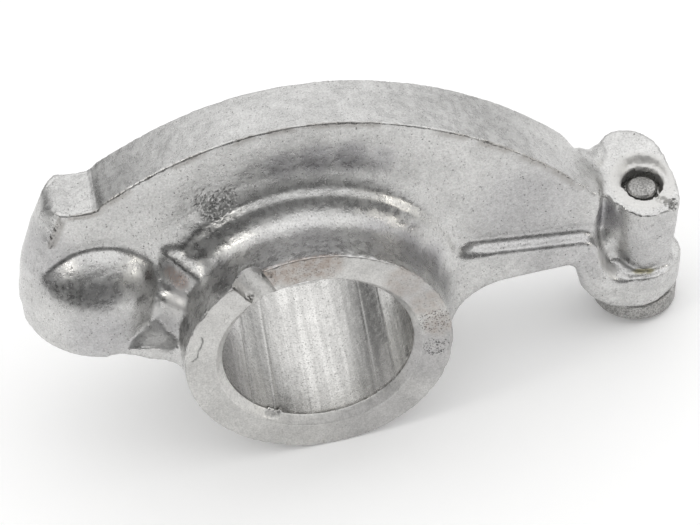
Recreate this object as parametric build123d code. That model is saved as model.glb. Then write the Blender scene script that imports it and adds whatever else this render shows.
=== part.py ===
from build123d import *
import math
import os

# Pushrod rocker arm, die-cast in aluminium, with a pressed-in steel valve pad
# and a pressed-in steel pushrod cup. Millimetres.
# It is drawn with the valve stem upright: X runs from the pushrod end to the
# valve end, Y along the shaft bore, Z up, origin in the middle of the bore.
# At the end the whole arm is leant over until barrel and pad share one plane,
# which is how it stands on a bench.

# ---- reach of trimming shapes, past the arm on every side
far_x = 45.0
far_y = 9.0
far_low = -20.0
far_high = 30.0
over = 1.0              # cutters run this far past the face they open

# ---- barrel on the rocker shaft
bore_radius = 10.0
barrel_radius = 14.0
barrel_length = 21.0
barrel_front = -barrel_length / 2
barrel_back = barrel_length / 2
mouth_chamfer = 0.85

# ---- oil groove across the front end of the barrel
groove_angle = 121.5    # from +X towards +Z
groove_bore_radius = 1.3    # it opens out from the bore to the rim
groove_rim_radius = 2.0
groove_lift = 0.3       # its axis lies this far in front of the end face

# ---- arched web, the flat plate of the arm
centre_y = 0.8          # middle plane of web, pad and pushrod cup
web_front = -2.5
web_back = 3.9          # where it crosses the middle of the barrel
web_flare = 2.0         # degrees, the plate thickens towards the valve end
end_round = 1.7
end_bay = 3.0           # past the rounding, where the end's outline turns outward

# side outline of the arm, (X, Z)
saddle_start = (-25.2, 15.95)
saddle_low = (-23.5, 15.75)
saddle_end = (-21.9, 15.95)
arch_points = [
    (-20.7, 16.9),
    (-15.8, 20.05),
    (-8.7, 23.2),
    (0.0, 24.7),
    (11.5, 22.85),
    (20.9, 18.4),
    (29.8, 11.0),
]
end_points = [
    (-25.2, 15.95),
    (-26.9, 14.7),
    (-28.2, 11.7),
    (-29.4, 7.4),
    (-29.9, 3.0),
    (-28.9, 0.3),
]
end_tips = [(-29.9, -8.0), (-29.9, 3.0), (-29.4, 7.4), (-28.2, 11.7), (-26.2, 17.0), (-23.0, 26.0)]
web_foot = (31.2, -1.1)
haunch_top = (28.4, 0.75)
haunch_turn = (28.1, 1.45)
haunch_front = [(30.4, -3.1), (31.9, -4.6), (34.2, -5.6)]
haunch_middle = [(29.2, -2.3), (30.6, -4.0), (33.6, -5.5)]
underside_tip = (27.0, 1.7)
underside_root = (21.0, 0.75)
underside_bow = (17.2, -1.1)
underside_foot = (15.0, -5.2)
inside_z = -7.2         # depth at which the outline closes inside the barrel
inside_x = 12.0
left_root = (-13.3, -4.4)
left_bow = (-14.1, -2.95)
left_foot_x = -15.6
left_toe_x = -27.6

# ---- collar where the web runs into the barrel
# Its surface turns from along the barrel to nearly upright. Then come a narrow
# ledge and a shallow dish that fades out in the web.
ring_root = 12.0        # inner radius of the collar rings, within the barrel's wall
collar_start = -7.05    # Y where the flare leaves the barrel
collar_flare = 3.5
collar_steep = 25.0     # degrees off the plane of the web, at the ledge
ledge_rim = 16.7        # outer radius of the ledge
dish_radius = 5.9
collar_back = 5.0
back_fillet = 2.0
flange_collar = 1.2     # sloping collar where the flange meets the barrel

# ---- lower flange between barrel and valve end
flange_front = -3.9
flange_back = 2 * centre_y - flange_front
flange_top = 5.1
flange_level_x = 17.0   # its top is level from here on
flange_root_z = 3.6     # and drops to this height inside the barrel
crease_rise = 0.55      # its top curves up by this much to meet the web
ledge_start_x = 28.3
ledge_middle = (31.0, 2.4)
ledge_end_x = 33.6

# ---- valve end
stem_x = 36.0
pad_boss_radius = 4.7
pad_boss_top = -1.3
pad_boss_bottom = -5.7
tip_relief = 17.0       # degrees, its underside rises off the pad towards the tip
head_back = (34.9, 3.0, 4.25)       # centre X, Y and radius of the three
head_front = (36.1, 0.1, 3.8)       # circles whose hull is the head in plan
head_corner = (38.1, -1.55, 1.7)
head_draft = 3.5        # degrees, it narrows downwards
head_foot = -1.8        # its foot is sunk in the pad boss
neck_x = 31.2           # the web stops here, a short way before the column
neck_height = 9.9       # top of the web at that place
neck_slant = 0.5
neck_front = -1.4       # the neck between web and column lies back from both
neck_back = 5.0
neck_left = 29.5
neck_right = 34.5
head_slope = 16.0       # top of the head rises towards the back
head_height = 8.7       # where that slope crosses the stem axis
head_top = 12.0
hole_radius = 2.2       # wide mouth of the hole that takes the pad's stem
hole_depth = 2.2
spot_radius = 2.9       # shallow spot-face round it
spot_slope = 3.0
spot_height = 8.45
spot_reach = 3.0

# ---- valve pad
pad_radius = 4.5
pad_thickness = 2.2
pad_edge = 0.3
stem_radius = 1.65
stem_recess = 1.05      # from the mouth of the hole down to the rim of the stem's end
stem_chamfer = 0.25
stem_crown = 0.12

# ---- pushrod boss and cup
boss_foot = (-22.3, -1.1)
boss_lean = 8.0         # the pushrod comes in at this angle
boss_radius = 7.6
boss_chamfer = 0.4
dome_height = 5.05      # from the foot up to the centre of the dome
cup_radius = 5.0
cup_height = 7.4
socket_radius = 4.0
socket_depth = 5.8
cup_lip = 0.3           # how far its rim stands out of the boss

# ---- bridge between pushrod boss and barrel: two steps across the corner
# under the web. Each has a wall and a sloping tread, given by a point on the
# edge where they meet and the directions in which they face.
lower_edge = (-14.2, -6.05, 4.85)
lower_wall = (-0.64, -0.75, 0.16)
lower_tread = (-0.42, -0.50, 0.76)
upper_edge = (-13.65, -4.2, 9.2)
upper_wall = (-0.63, -0.74, 0.22)
upper_tread = (-0.20, -0.60, 0.90)
bridge_left = -18.0
bridge_right = -8.0
bridge_foot = -4.0
bridge_head = 12.0
bridge_rim = [(-22.3, 0.8), (-22.3, -6.2), (-15.2, -7.3), (-12.0, -7.9), (-9.0, -7.9), (-9.0, 0.8)]
rim_top = -0.1


def side_slab(outline, front, back):
    """Solid with this (X, Z) outline between two stations along the bore."""
    return extrude(Plane.XZ.offset(-front) * outline, amount=front - back)


def plan_slab(outline, low, high):
    """Solid with this (X, Y) outline between two heights."""
    return extrude(Plane.XY.offset(low) * outline, amount=high - low)


def arm_side(outline):
    """Solid with this side outline, almost as deep as the barrel is long."""
    return side_slab(outline, barrel_front + 1.0, barrel_back - 1.0)


def underside():
    """Lower edge of the arm from the haunch to the barrel, shared by web and flange."""
    return [
        ThreePointArc(haunch_top, haunch_turn, underside_tip),
        Line(underside_tip, underside_root),
        ThreePointArc(underside_root, underside_bow, underside_foot),
        Line(underside_foot, (inside_x, inside_z)),
    ]


def boss_plane_z(x):
    """Height of the slanting underside of the pushrod end."""
    return boss_foot[1] - math.tan(math.radians(boss_lean)) * (x - boss_foot[0])


def web_outline():
    left_foot = (left_foot_x, boss_plane_z(left_foot_x))
    left_toe = (left_toe_x, boss_plane_z(left_toe_x))
    arch = Spline(*arch_points)
    return make_face([
        ThreePointArc(saddle_start, saddle_low, saddle_end),
        Spline(saddle_end, arch_points[0], tangents=[(1, 0.1), arch % 0]),
        arch,
        Line(arch_points[-1], (neck_x, neck_height)),
        Line((neck_x, neck_height), web_foot),
        Line(web_foot, haunch_top),
        *underside(),
        Line((inside_x, inside_z), (-inside_x, inside_z)),
        Line((-inside_x, inside_z), left_root),
        ThreePointArc(left_root, left_bow, left_foot),
        Line(left_foot, left_toe),
        Line(left_toe, end_points[-1]),
        Spline(*end_points, tangents=[(-1, -0.1), (0.6, -1)]),
    ])


def make_web():
    slab = side_slab(web_outline(), web_front, far_y)
    flared_back = web_back + far_x * math.tan(math.radians(web_flare))
    plan = make_face(Polyline(
        (-far_x, web_front),
        (neck_x - neck_slant, web_front),
        (neck_x, neck_front),
        (far_x, neck_front),
        (far_x, flared_back),
        (0, web_back),
        (-far_x, web_back),
        close=True,
    ))
    return slab & plan_slab(plan, far_low, far_high) & make_end_envelope()


def make_end_envelope():
    """Rounds the left end of the plate in plan, following its lean."""
    sections = []
    for tip_x, height in end_tips:
        corner_x = tip_x + end_round
        section = make_face([
            ThreePointArc((corner_x, web_front), (tip_x, centre_y), (corner_x, web_back)),
            Line((corner_x, web_back), (corner_x + end_bay, far_y)),
            Line((corner_x + end_bay, far_y), (far_x, far_y)),
            Line((far_x, far_y), (far_x, -far_y)),
            Line((far_x, -far_y), (corner_x + end_bay, -far_y)),
            Line((corner_x + end_bay, -far_y), (corner_x, web_front)),
        ])
        sections.append(Plane.XY.offset(height) * section)
    return loft(sections, ruled=True)


def flange_outline(rise, haunch):
    """Side outline of the flange; rise lifts its top, haunch shapes the step below the valve end."""
    ledge_end = (ledge_end_x, pad_boss_top + rise)
    step_foot, step_bow, boss_left = haunch
    top = flange_top + rise
    middle = (ledge_middle[0], ledge_middle[1] + rise)
    return make_face([
        Line((inside_x, flange_root_z), (flange_level_x, top)),
        Line((flange_level_x, top), (ledge_start_x, top)),
        Spline((ledge_start_x, top), middle, ledge_end, tangents=[(1, 0), (1, -0.1)]),
        Line(ledge_end, (stem_x, pad_boss_top)),
        Line((stem_x, pad_boss_top), (stem_x, pad_boss_bottom)),
        Line((stem_x, pad_boss_bottom), boss_left),
        ThreePointArc(boss_left, step_bow, step_foot),
        Line(step_foot, haunch_top),
        *underside(),
        Line((inside_x, inside_z), (inside_x, flange_root_z)),
    ])


def make_flange():
    """Flange whose faces step in at the haunch and whose top sweeps up into the web."""
    halfway = (flange_front + web_front) / 2
    sections = [
        Plane.XZ.offset(-flange_front) * flange_outline(0, haunch_front),
        Plane.XZ.offset(-halfway) * flange_outline(crease_rise * 0.2, haunch_middle),
        Plane.XZ.offset(-web_front) * flange_outline(crease_rise, haunch_middle),
    ]
    face = loft(sections, ruled=True)
    core = side_slab(flange_outline(crease_rise, haunch_middle), web_front, centre_y)
    half = face + core
    return half + mirror(half, about=Plane.XZ.offset(-centre_y))


def make_pad_boss():
    disc = Pos(stem_x, centre_y) * Circle(pad_boss_radius)
    boss = plan_slab(disc, pad_boss_bottom, pad_boss_top)
    relief = Plane(Pos(stem_x, centre_y, pad_boss_bottom) * Rot(0, -tip_relief, 0))
    return split(boss, bisect_by=relief, keep=Keep.TOP)


def head_plan(height):
    """Outline of the valve-end column at one height, a hull of three circles that shrink with the draft."""
    shrink = (head_top - height) * math.tan(math.radians(head_draft))
    circles = []
    for x, y, radius in (head_back, head_front, head_corner):
        circles.append(Pos(x, y) * Circle(radius - shrink))
    return Plane.XY.offset(height) * make_hull(Sketch(children=circles).edges())


def make_head():
    """Drafted column above the pad boss, cut off by the sloping top."""
    column = loft([head_plan(head_foot), head_plan(head_top)], ruled=True)
    neck_plan = make_face(Polyline(
        (neck_left, neck_front),
        (neck_right, neck_front),
        (neck_right, neck_back),
        (neck_left, neck_back),
        close=True,
    ))
    neck = plan_slab(neck_plan, pad_boss_top, head_top)
    top = Plane(Pos(stem_x, centre_y, head_height) * Rot(head_slope, 0, 0))
    return split(column + neck, bisect_by=top, keep=Keep.BOTTOM)


def flared_ring():
    """Ring at the back of the web whose outside flares from the barrel up to the flat face."""
    start_y = collar_back + back_fillet
    outer = barrel_radius + back_fillet
    bow = back_fillet * (1 - math.sqrt(0.5))
    middle = (barrel_radius + bow, collar_back + bow)
    return revolve(make_face([
        Line((ring_root, centre_y), (ring_root, start_y)),
        Line((ring_root, start_y), (barrel_radius, start_y)),
        ThreePointArc((barrel_radius, start_y), middle, (outer, collar_back)),
        Line((outer, collar_back), (outer, centre_y)),
        Line((outer, centre_y), (ring_root, centre_y)),
    ]), Axis.Y)


def sloping_ring(face_y, start_y):
    """Ring whose outside slopes from the barrel up to a face of the flange."""
    outer = barrel_radius + flange_collar
    return revolve(make_face(Polyline(
        (ring_root, centre_y),
        (ring_root, start_y),
        (barrel_radius, start_y),
        (outer, face_y),
        (outer, centre_y),
        close=True,
    )), Axis.Y)


def dished_ring():
    """Ring at the front of the web: flare, ledge and dish, as (radius, Y)."""

    def flare(angle):
        turn = math.radians(angle)
        radius = barrel_radius + collar_flare * (1 - math.sin(turn))
        return (radius, collar_start + collar_flare * math.cos(turn))

    def dish(angle):
        turn = math.radians(angle)
        rise = math.sin(math.radians(collar_steep)) - math.sin(turn)
        return (ledge_rim + dish_radius * rise, web_front - dish_radius * (1 - math.cos(turn)))

    rim = dish(0)
    return revolve(make_face([
        Line((ring_root, centre_y), (ring_root, collar_start)),
        Line((ring_root, collar_start), flare(90)),
        ThreePointArc(flare(90), flare((90 + collar_steep) / 2), flare(collar_steep)),
        Line(flare(collar_steep), dish(collar_steep)),
        ThreePointArc(dish(collar_steep), dish(collar_steep / 2), rim),
        Line(rim, (rim[0], centre_y)),
        Line((rim[0], centre_y), (ring_root, centre_y)),
    ]), Axis.Y)


def make_collars():
    """Flares between barrel and web, kept to the stretch where the arm stands behind them."""
    return (dished_ring() + flared_ring()) & arm_side(web_outline())


def make_flange_collars():
    front = sloping_ring(flange_front, flange_front - flange_collar)
    rings = front + sloping_ring(flange_back, flange_back + flange_collar)
    return rings & arm_side(flange_outline(0, haunch_front))


def make_barrel():
    return revolve(make_face(Polyline(
        (0, barrel_front),
        (barrel_radius, barrel_front),
        (barrel_radius, barrel_back),
        (0, barrel_back),
        close=True,
    )), Axis.Y)


def boss_frame():
    """Where the pushrod boss stands, leaning with the pushrod."""
    return Pos(boss_foot[0], centre_y, boss_foot[1]) * Rot(0, boss_lean, 0)


def make_pushrod_boss():
    """Drum with a domed top that holds the pushrod cup."""
    side = boss_radius * math.sqrt(0.5)
    outline = make_face([
        Line((0, 0), (boss_radius - boss_chamfer, 0)),
        Line((boss_radius - boss_chamfer, 0), (boss_radius, boss_chamfer)),
        Line((boss_radius, boss_chamfer), (boss_radius, dome_height)),
        ThreePointArc((boss_radius, dome_height), (side, dome_height + side), (0, dome_height + boss_radius)),
        Line((0, dome_height + boss_radius), (0, 0)),
    ])
    return boss_frame() * revolve(Plane.XZ * outline, Axis.Z)


def make_step(edge, wall, tread):
    """One step of the bridge, a block trimmed by its wall and its tread."""
    corner = (bridge_left, barrel_front, bridge_foot)
    size = (bridge_right - bridge_left, centre_y - barrel_front, bridge_head - bridge_foot)
    block = Pos(*corner) * Box(*size, align=Align.MIN)
    block = split(block, bisect_by=Plane(origin=edge, z_dir=wall), keep=Keep.BOTTOM)
    return split(block, bisect_by=Plane(origin=edge, z_dir=tread), keep=Keep.BOTTOM)


def make_bridge():
    """Stepped corner that joins pushrod boss and barrel below the web."""
    steps = make_step(lower_edge, lower_wall, lower_tread) + make_step(upper_edge, upper_wall, upper_tread)
    rim = plan_slab(make_face(Polyline(*bridge_rim, close=True)), bridge_foot, rim_top)
    return (steps + rim) & arm_side(web_outline())


def make_bore():
    """Cutter for the shaft bore and the chamfers at its mouths."""
    mouth = bore_radius + mouth_chamfer
    return revolve(make_face(Polyline(
        (0, barrel_front - over),
        (mouth, barrel_front - over),
        (mouth, barrel_front),
        (bore_radius, barrel_front + mouth_chamfer),
        (bore_radius, barrel_back - mouth_chamfer),
        (mouth, barrel_back),
        (mouth, barrel_back + over),
        (0, barrel_back + over),
        close=True,
    )), Axis.Y)


def make_groove():
    """Cutter for the oil groove, a cone lying across the end face from bore to rim."""
    length = barrel_radius - bore_radius + 2 * over
    cone = Cone(groove_bore_radius, groove_rim_radius, length)
    middle = (bore_radius + barrel_radius) / 2
    return Rot(0, 90.0 - groove_angle, 0) * Pos(0, barrel_front - groove_lift, middle) * cone


def make_stem_hole():
    """Cutter for the hole through the valve end, its wide mouth and the spot-face."""
    mouth_foot = head_height - hole_depth
    fit = plan_slab(Circle(stem_radius), pad_boss_bottom - over, mouth_foot + over)
    mouth = plan_slab(Circle(hole_radius), mouth_foot, head_top)
    spot = Pos(0, 0, spot_height) * Rot(spot_slope, 0, 0) * plan_slab(Circle(spot_radius), 0, spot_reach)
    return Pos(stem_x, centre_y) * (fit + mouth + spot)


def make_cup_bore():
    return boss_frame() * plan_slab(Circle(cup_radius), -2 * over, cup_height - cup_lip)


def make_casting():
    arm = make_web() + make_flange() + make_pad_boss() + make_head()
    arm += make_barrel() + make_collars() + make_flange_collars()
    arm += make_pushrod_boss() + make_bridge()
    return arm - make_bore() - make_groove() - make_stem_hole() - make_cup_bore()


def make_valve_pad():
    """Hardened pad that bears on the valve tip, with the stem that holds it in the arm."""
    top = pad_boss_bottom
    face = top - pad_thickness
    stem_rim = head_height - stem_recess
    end_radius = stem_radius - stem_chamfer
    end_rim = stem_rim + stem_chamfer
    sphere = (end_radius ** 2 + stem_crown ** 2) / (2 * stem_crown)
    sweep = math.degrees(math.asin(end_radius / sphere))
    outline = make_face([
        Line((0, face), (0, end_rim + stem_crown)),
        CenterArc((0, end_rim + stem_crown - sphere), sphere, 90.0 - sweep, sweep),
        Line((end_radius, end_rim), (stem_radius, stem_rim)),
        Line((stem_radius, stem_rim), (stem_radius, top)),
        Line((stem_radius, top), (pad_radius, top)),
        Line((pad_radius, top), (pad_radius, face + pad_edge)),
        Line((pad_radius, face + pad_edge), (pad_radius - pad_edge, face)),
        Line((pad_radius - pad_edge, face), (0, face)),
    ])
    return Pos(stem_x, centre_y, 0) * revolve(Plane.XZ * outline, Axis.Z)


def make_pushrod_cup():
    """Steel cup pressed into the leaning boss, with a round-bottomed socket that opens downwards."""
    ball_z = socket_depth - socket_radius
    body = plan_slab(Circle(cup_radius), 0, cup_height)
    socket = plan_slab(Circle(socket_radius), -over, ball_z) + Pos(0, 0, ball_z) * Sphere(socket_radius)
    return boss_frame() * Pos(0, 0, -cup_lip) * (body - socket)


def bench_lean():
    """Angle that brings the pad's outer lower edge level with the bottom of the barrel."""
    edge_x = stem_x + pad_radius - pad_edge
    edge_z = pad_boss_bottom - pad_thickness
    reach = math.hypot(edge_x, edge_z)
    return math.degrees(math.asin(barrel_radius / reach) + math.atan2(edge_z, edge_x))


os.makedirs("parts", exist_ok=True)
lean = Rot(0, bench_lean(), 0)
export_step(lean * make_casting(), "parts/arm_casting.step")
export_step(lean * make_valve_pad(), "parts/valve_pad.step")
export_step(lean * make_pushrod_cup(), "parts/pushrod_cup.step")
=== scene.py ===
import math

import bmesh
import bpy
import numpy as np
from mathutils import Matrix, Vector, noise
from mathutils.bvhtree import BVHTree
from mathutils.kdtree import KDTree


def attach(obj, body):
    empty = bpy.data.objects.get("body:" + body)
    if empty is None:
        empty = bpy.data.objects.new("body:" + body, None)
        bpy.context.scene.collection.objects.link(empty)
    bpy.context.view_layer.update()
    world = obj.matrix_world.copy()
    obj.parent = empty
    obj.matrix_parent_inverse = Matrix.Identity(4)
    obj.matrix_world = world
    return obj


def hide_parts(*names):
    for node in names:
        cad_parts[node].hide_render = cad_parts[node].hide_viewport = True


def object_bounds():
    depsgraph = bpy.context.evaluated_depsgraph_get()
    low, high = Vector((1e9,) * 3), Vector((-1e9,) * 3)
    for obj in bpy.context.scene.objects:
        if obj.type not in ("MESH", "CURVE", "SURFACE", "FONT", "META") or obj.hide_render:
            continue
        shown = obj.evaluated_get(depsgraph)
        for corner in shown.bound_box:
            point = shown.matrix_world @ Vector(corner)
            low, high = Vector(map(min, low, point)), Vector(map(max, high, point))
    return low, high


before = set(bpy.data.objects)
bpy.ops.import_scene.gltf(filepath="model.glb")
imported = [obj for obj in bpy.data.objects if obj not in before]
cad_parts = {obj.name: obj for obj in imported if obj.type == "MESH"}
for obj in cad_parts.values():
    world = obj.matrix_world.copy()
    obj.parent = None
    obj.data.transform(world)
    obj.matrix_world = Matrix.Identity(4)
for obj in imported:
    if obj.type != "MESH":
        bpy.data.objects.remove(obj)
cadLow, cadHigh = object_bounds()
mm = 0.001

# The arm stands leant on a bench. Its forms are easier to name with the valve
# stem upright, so shaping works in that upright frame, in millimetres.
arm = {
    "barrelRadius": 14.0, "boreRadius": 10.0, "barrelHalf": 10.5,
    "stemX": 36.0, "stemY": 0.8,      # axis of the valve pad's stem
    "padRadius": 4.5, "padEdge": 0.3, "padFoot": -7.9,
}
padEdgeX = arm["stemX"] + arm["padRadius"] - arm["padEdge"]
reach = math.hypot(padEdgeX, arm["padFoot"])
lean = math.asin(arm["barrelRadius"] / reach) + math.atan2(arm["padFoot"], padEdgeX)
leanCos, leanSin = math.cos(lean), math.sin(lean)
far = 99.0  # past every end of the arm


def toUpright(points):  # metres in the row frame to upright millimetres
    x, y, z = (points / mm).T
    return np.stack([x * leanCos - z * leanSin, y, x * leanSin + z * leanCos], 1)


def toRow(points):  # upright millimetres to metres in the row frame
    x, y, z = points.T
    return np.stack([x * leanCos + z * leanSin, y, -x * leanSin + z * leanCos], 1) * mm


def rowVector(x, y, z):
    return Vector((x * leanCos + z * leanSin, y, -x * leanSin + z * leanCos))


def readPoints(mesh, kind="co"):  # kind can also be normal
    flat = np.zeros(len(mesh.vertices) * 3)
    mesh.vertices.foreach_get(kind, flat)
    return flat.reshape(-1, 3)


def readEdges(mesh):
    flat = np.zeros(len(mesh.edges) * 2, int)
    mesh.edges.foreach_get("vertices", flat)
    return flat.reshape(-1, 2)


def writePoints(mesh, points):
    mesh.vertices.foreach_set("co", points.astype(np.float32).ravel())
    mesh.update()


def writeMasks(mesh, masks):  # one number per vertex and mask, read by the materials
    for name, values in masks.items():
        layer = mesh.attributes.new(name, "FLOAT", "POINT")
        layer.data.foreach_set("value", np.clip(values, 0, 1).astype(np.float32))


def ramp(values, low, high):  # 0 at low, 1 at high, smooth between
    t = np.clip((values - low) / (high - low), 0, 1)
    return t * t * (3 - 2 * t)


def bandAt(values, middle, full, reach):  # 1 within full of the middle, 0 past reach
    return ramp(np.abs(values - middle), reach, full)


def awayFrom(points, place):
    return np.linalg.norm(points - np.array(place), axis=1)


def fromStem(points):
    return np.hypot(points[:, 0] - arm["stemX"], points[:, 1] - arm["stemY"])


def nearSpots(points, spots, core=0.5):  # 1 in the middle of each (x, y, z, radius) spot, 0 outside
    share = np.zeros(len(points))
    for x, y, z, radius in spots:
        share = np.maximum(share, ramp(awayFrom(points, (x, y, z)), radius, radius * core))
    return share


def insideBox(points, low, high):  # which points lie between two corners
    return np.all((points > np.array(low)) & (points < np.array(high)), axis=1)


def fieldNoise(points, scale, seed, octaves):  # smooth noise from -1 to 1 at each point
    shift = Vector((seed * 7.3, seed * 3.1, seed * 5.7))
    return np.array([noise.fractal(Vector(p) * scale + shift, 0.6, 2.0, octaves) for p in points])


def relax(points, edges, weight, rounds):  # draws each point half-way to the mean of its neighbours
    inside = weight > 0.001
    edges = edges[inside[edges[:, 0]] | inside[edges[:, 1]]]
    a, b = edges[:, 0], edges[:, 1]
    count = len(points)
    near = np.maximum(np.bincount(a, minlength=count) + np.bincount(b, minlength=count), 1)
    amount = (0.5 * weight)[:, None]
    for _ in range(rounds):
        mean = np.empty_like(points)
        for axis in range(3):
            total = np.bincount(a, points[b, axis], count) + np.bincount(b, points[a, axis], count)
            mean[:, axis] = total / near
        points = points + amount * (mean - points)
    return points


def weldedCopy(source):
    welded = bmesh.new()
    welded.from_mesh(source.data)
    bmesh.ops.remove_doubles(welded, verts=welded.verts, dist=1e-6)
    return welded


def denseCopy(source, name, cell):  # the node's own form as an even mesh of small faces
    copy = bpy.data.objects.new(name, source.data.copy())
    bpy.context.scene.collection.objects.link(copy)
    welded = weldedCopy(source)
    welded.to_mesh(copy.data)
    welded.free()
    remesh = copy.modifiers.new("even", "REMESH")
    remesh.mode = "VOXEL"
    remesh.voxel_size = cell * mm
    remesh.use_smooth_shade = True
    graph = bpy.context.evaluated_depsgraph_get()
    mesh = bpy.data.meshes.new_from_object(copy.evaluated_get(graph))
    old = copy.data
    copy.modifiers.clear()
    copy.data = mesh
    bpy.data.meshes.remove(old)
    return copy


def crispPoints(welded, angle, step):  # places along every edge that is sharper than angle
    found = []
    for edge in welded.edges:
        if len(edge.link_faces) == 2 and edge.calc_face_angle(0) > math.radians(angle):
            start, end = edge.verts[0].co, edge.verts[1].co
            pieces = max(1, int((end - start).length / (step * mm)))
            found += [start.lerp(end, part / pieces) for part in range(pieces + 1)]
    return found


def treeOf(places):
    tree = KDTree(len(places))
    for index, place in enumerate(places):
        tree.insert(Vector(place), index)
    tree.balance()
    return tree


def distances(points, tree):
    return np.array([tree.find(Vector(point))[2] for point in points])


def seat(points, surface):  # every point back onto the true surface
    return np.array([surface.find_nearest(Vector(point))[0] for point in points])


def refine(mesh, chosen):  # halves the faces between chosen points
    fine = bmesh.new()
    fine.from_mesh(mesh)
    fine.verts.ensure_lookup_table()
    edges = [edge for edge in fine.edges if chosen[edge.verts[0].index] and chosen[edge.verts[1].index]]
    bmesh.ops.subdivide_edges(fine, edges=edges, cuts=1, use_grid_fill=True)
    for face in fine.faces:
        face.smooth = True
    fine.to_mesh(mesh)
    fine.free()


castForm = {
    "cell": 0.33,             # mm, size of the even mesh
    "crispAngle": 32.0,       # degrees, a sharper edge than this is worn round
    "crispStep": 0.12,        # mm between the places noted along such an edge
    "edgeRounds": 3,          # rounding of every cast edge
    "edgeBand": (0.8, 0.3),   # mm from the edge, where it begins and where it is full
    "fineRounds": 3,          # the same once the faces are finer
    "fineBand": (0.35, 0.12),
    "creaseShare": 0.85,      # how much of the rounding a crease is spared
    "spotRounds": 4,          # softening of the spot-face's wall
    "spotWall": (2.5, 2.9),   # mm from the stem's axis
    "headLow": 6.8,           # mm, the head's top lies above this
    "headFront": -1.5,        # mm, and its front edge, kept crisp, in front of this
    "mouthRounds": 5,         # rounding of the hole's mouth
    "mouthBand": (2.2, 0.15, 0.35),     # mm, radius, then full and reach to each side of it
    "mouthZ": (7.6, 9.2),
    "halvings": (0.6, 0.3),   # mm from the ragged edges, each band halves the faces again
    "seatBand": 0.45,         # mm, finer faces this near the spine's edges follow the solid again
    "spineFoot": 11.5,        # mm, the spine lies above this
    "flashBand": (0.32, 0.05),
    "waveHeight": 0.035,      # mm, unevenness of the cast faces
    "flashHeight": 0.10,      # mm, ragged parting edge
    "stripHeight": 0.05,      # mm, rough strip below that edge
    "stripBand": (0.85, 0.5), "stripFront": -2.3,
    "patchHeight": 0.11,      # mm, pitted patch on the web
    "ringHeight": 0.02,       # mm, hammered ring round the hole
    "combHeight": 0.035,      # mm, stripes across the saddle
    "neckHeight": 0.45,       # mm, swelling behind the neck
    "skinFrom": 8.5,          # mm from the middle, where the machined piece covers the barrel
    "skinFade": (0.1, 0.9),   # mm past that, where the casting drops under it
    "skinRadius": 14.3,       # mm, reach of that piece
    "skinInside": 10.5,       # mm, nothing of the casting is kept inside this
    "sink": 0.03,             # mm, how far the casting drops
}
castNoise = {                 # scale, seed, octaves
    "longWave": (0.45, 1, 3), "shortWave": (1.9, 2, 2), "flash": (0.6, 3, 4),
    "patch": (1.0, 4, 3), "pit": (2.5, 5, 2), "ring": (2.4, 6, 3), "comb": (1.0, 7, 3),
    "strip": (0.35, 8, 2), "stripGrain": (2.2, 9, 3),
}

# Spots are (x, y, z, radius), boxes are a low and a high corner.
holeSpot = (arm["stemX"], arm["stemY"], 8.2, 4.6)
creaseSpots = [(-22.3, -2.6, 10.9, 4.5), (-26.5, -2.4, 9.8, 3.5), (-18.2, -3.4, 9.2, 2.2)]
creaseBoxes = [               # edges that stay sharper, with a share
    ((-21.7, -far, 14.5), (-20.1, far, far), 1.0),      # step at the spine's end
    ((17.0, -far, 4.8), (30.0, far, 5.8), 0.7),         # top of the flange
]
softSpots = [                 # (x, y, z, radius, rounds): places where the casting runs together softly
    (31.2, 3.0, 10.0, 4.2, 60),
    (31.2, 0.0, 9.0, 2.6, 16),
    (31.6, -1.6, 6.0, 2.2, 4),
    (31.8, -1.6, 2.5, 2.2, 6),
    (31.6, -2.6, 1.6, 1.8, 14),
    (32.6, -2.8, -0.4, 2.2, 14),
    (-17.2, -3.0, 9.5, 2.6, 14),
    (-17.0, -6.0, 3.0, 2.4, 12),
    (-16.7, -6.1, 0.2, 2.4, 14),
    (-14.6, -6.7, -0.2, 1.5, 20),
    (-19.6, -6.3, -0.8, 2.2, 14),
    (16.6, -3.7, 4.9, 2.0, 14),
    (-26.0, -2.4, 13.3, 1.8, 10),
    (-26.3, -0.8, 15.4, 1.5, 6),
    (-26.1, 0.8, 15.6, 1.5, 6),
    (-25.8, 2.2, 15.8, 1.5, 6),
]
pocket = {                    # corner between boss and bridge, filled to a slope
    "x": -16.6, "full": 2.0, "reach": 2.6,
    "foot": (-0.7, -0.4), "top": (2.4, 1.5),            # z where the filling fades out and in
    "behind": -4.6, "face": -5.35,
    "slope": 1.55, "slopeZ": (1.6, -0.2),
}
neck = {                      # valley down the front of the neck, beside the column
    "x": 31.6, "full": 0.1, "reach": 1.1, "depth": 1.2,
    "foot": (1.2, 4.0), "top": (8.7, 7.7), "back": (0.6, -0.6), "front": (0.2, 1.2),
    "soft": [(31.6, -1.2, 5.6, 2.6), (31.8, -1.6, 3.0, 1.8)], "rounds": 8,
}


def waves(points):  # unevenness left by the mould
    longWave = fieldNoise(points, *castNoise["longWave"])
    shortWave = fieldNoise(points, *castNoise["shortWave"])
    return castForm["waveHeight"] * (longWave + 0.4 * shortWave)


def roundEdges(points, edges):
    fromEdge = distances(toRow(points), crispTree) / mm
    holeRing = nearSpots(points, [holeSpot])
    crease = nearSpots(points, creaseSpots)
    for low, high, share in creaseBoxes:
        crease = np.maximum(crease, share * insideBox(points, low, high))
    weight = ramp(fromEdge, *castForm["edgeBand"]) * (1 - holeRing) * (1 - castForm["creaseShare"] * crease)
    points = relax(points, edges, weight, castForm["edgeRounds"])
    headTop = (points[:, 2] > castForm["headLow"]) * (points[:, 1] > castForm["headFront"])
    spotFace = holeRing * ramp(fromStem(points), *castForm["spotWall"]) * headTop
    return relax(points, edges, spotFace, castForm["spotRounds"])


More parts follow.
